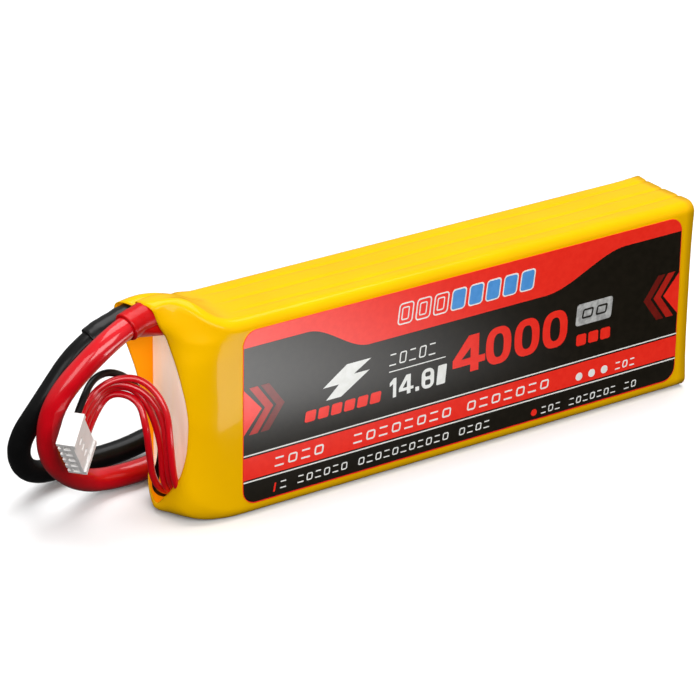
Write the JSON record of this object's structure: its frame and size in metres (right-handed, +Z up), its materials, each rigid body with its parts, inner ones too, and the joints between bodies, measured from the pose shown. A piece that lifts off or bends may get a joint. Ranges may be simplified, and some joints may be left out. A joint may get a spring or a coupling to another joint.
{
  "type": "lipo battery pack",
  "caption": "Flat rechargeable lithium-polymer pack in a glossy heat-shrink sleeve, with two power leads ending in a two-pole connector and a thin balance lead with a small white plug.",
  "frame": {"origin": "middle of the pack's underside, on the surface that the pack stands on, with the sleeve's lead arches counted and its cords left out", "axes": "+X along the pack, away from the end that the leads leave; -Y out of the labelled face; +Z up, across the pack's width as it stands on its long narrow side"},
  "size_m": [0.1799, 0.046, 0.055],
  "materials": {
    "sleeve_film": "glossy translucent yellow PVC heat-shrink film",
    "label_print": "printed glossy adhesive label, red and dark grey",
    "fibre_paper": "pale fibre insulation board",
    "circuit_board": "glass-epoxy board with solder mask",
    "tab_metal": "nickel-plated strip",
    "red_silicone": "glossy red silicone insulation",
    "black_silicone": "glossy black silicone insulation",
    "solder": "bright tin solder",
    "red_shrink": "red polyolefin heat-shrink",
    "black_shrink": "black polyolefin heat-shrink",
    "white_nylon": "white moulded nylon",
    "connector_nylon": "yellow moulded nylon",
    "cell_pouch": "silver aluminium-laminate pouch",
    "adhesive_foam": "thin white double-sided foam tape",
    "strapping_tape": "amber polyimide tape",
    "contact_plating": "tin-plated brass",
    "socket_plating": "gold-plated brass"
  },
  "bodies": {
    "root": {"shrink_sleeve": "sleeve_film", "label": "label_print", "lead_end_pad": "fibre_paper", "rear_end_pad": "fibre_paper", "junction_board": "circuit_board", "positive_terminal_tab": "tab_metal", "negative_terminal_tab": "tab_metal", "positive_lead": "red_silicone", "negative_lead": "black_silicone", "positive_joint": "solder", "negative_joint": "solder", "positive_collar": "red_shrink", "negative_collar": "black_shrink", "balance_plug": "white_nylon", "connector_housing": "connector_nylon", "cell_1": "cell_pouch", "cell_2": "cell_pouch", "cell_3": "cell_pouch", "cell_4": "cell_pouch", "cell_pad_1": "adhesive_foam", "tab_link_1": "tab_metal", "cell_pad_2": "adhesive_foam", "tab_link_2": "tab_metal", "cell_pad_3": "adhesive_foam", "tab_link_3": "tab_metal", "tape_band_1": "strapping_tape", "tape_band_2": "strapping_tape", "balance_wire_1": "black_silicone", "balance_joint_1": "solder", "balance_contact_1": "contact_plating", "balance_wire_2": "red_silicone", "balance_joint_2": "solder", "balance_contact_2": "contact_plating", "balance_wire_3": "red_silicone", "balance_joint_3": "solder", "balance_contact_3": "contact_plating", "balance_wire_4": "red_silicone", "balance_joint_4": "solder", "balance_contact_4": "contact_plating", "balance_wire_5": "red_silicone", "balance_joint_5": "solder", "balance_contact_5": "contact_plating", "positive_socket": "socket_plating", "negative_socket": "socket_plating", "positive_connector_shrink": "red_shrink", "negative_connector_shrink": "black_shrink"}
  },
  "joints": []
}
